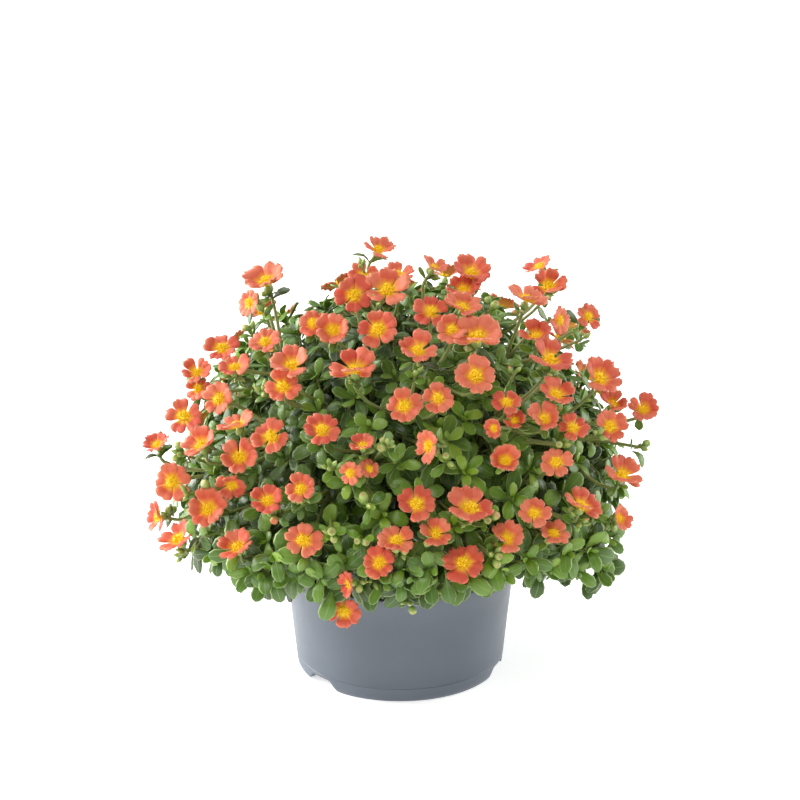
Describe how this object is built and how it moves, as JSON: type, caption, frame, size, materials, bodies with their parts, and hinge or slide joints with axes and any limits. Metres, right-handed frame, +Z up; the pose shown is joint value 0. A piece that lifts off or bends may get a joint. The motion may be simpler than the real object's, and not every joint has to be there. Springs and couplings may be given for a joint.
{
  "type": "portulaca",
  "caption": "Low round pot filled by a dense mound of fleshy leafy stems with many small coral blooms.",
  "frame": {"origin": "on the ground below the middle of the whole plant's box, close to the pot's axis", "axes": "+Z up out of the pot, -Y towards the front of the mound, +X to the right of the front"},
  "size_m": [0.395, 0.4266, 0.3606],
  "materials": {
    "pot_plastic": "smooth satin blue-grey moulded plastic",
    "compost": "dark crumbly potting compost, dry on top",
    "leaf_green": "fleshy mid-green leaves with a waxy bluish sheen and pale edges, on olive to reddish stems",
    "petal_coral": "soft coral-orange petals, yellow towards the middle, on olive stalks"
  },
  "bodies": {
    "root": {"compost": "compost", "leafy_stem_01": "leaf_green", "leafy_stem_02": "leaf_green", "leafy_stem_03": "leaf_green", "leafy_stem_04": "leaf_green", "leafy_stem_05": "leaf_green", "leafy_stem_06": "leaf_green", "leafy_stem_07": "leaf_green", "leafy_stem_08": "leaf_green", "leafy_stem_09": "leaf_green", "leafy_stem_10": "leaf_green", "leafy_stem_11": "leaf_green", "leafy_stem_12": "leaf_green", "leafy_stem_13": "leaf_green", "leafy_stem_14": "leaf_green", "leafy_stem_15": "leaf_green", "leafy_stem_16": "leaf_green", "leafy_stem_17": "leaf_green", "leafy_stem_18": "leaf_green", "leafy_stem_19": "leaf_green", "leafy_stem_20": "leaf_green", "leafy_stem_21": "leaf_green", "leafy_stem_22": "leaf_green", "leafy_stem_23": "leaf_green", "leafy_stem_24": "leaf_green", "leafy_stem_25": "leaf_green", "leafy_stem_26": "leaf_green", "leafy_stem_27": "leaf_green", "leafy_stem_28": "leaf_green", "pot": "pot_plastic", "spray_01": "petal_coral", "spray_02": "petal_coral", "spray_03": "petal_coral", "spray_04": "petal_coral", "spray_05": "petal_coral", "spray_06": "petal_coral", "spray_07": "petal_coral", "spray_08": "petal_coral", "spray_09": "petal_coral", "spray_10": "petal_coral", "spray_11": "petal_coral", "spray_12": "petal_coral", "spray_13": "petal_coral", "spray_14": "petal_coral", "spray_15": "petal_coral", "spray_16": "petal_coral", "spray_17": "petal_coral", "spray_18": "petal_coral", "spray_19": "petal_coral", "spray_20": "petal_coral", "spray_21": "petal_coral", "spray_22": "petal_coral", "spray_23": "petal_coral", "spray_24": "petal_coral", "spray_25": "petal_coral", "spray_26": "petal_coral", "spray_27": "petal_coral", "spray_28": "petal_coral"}
  },
  "joints": []
}
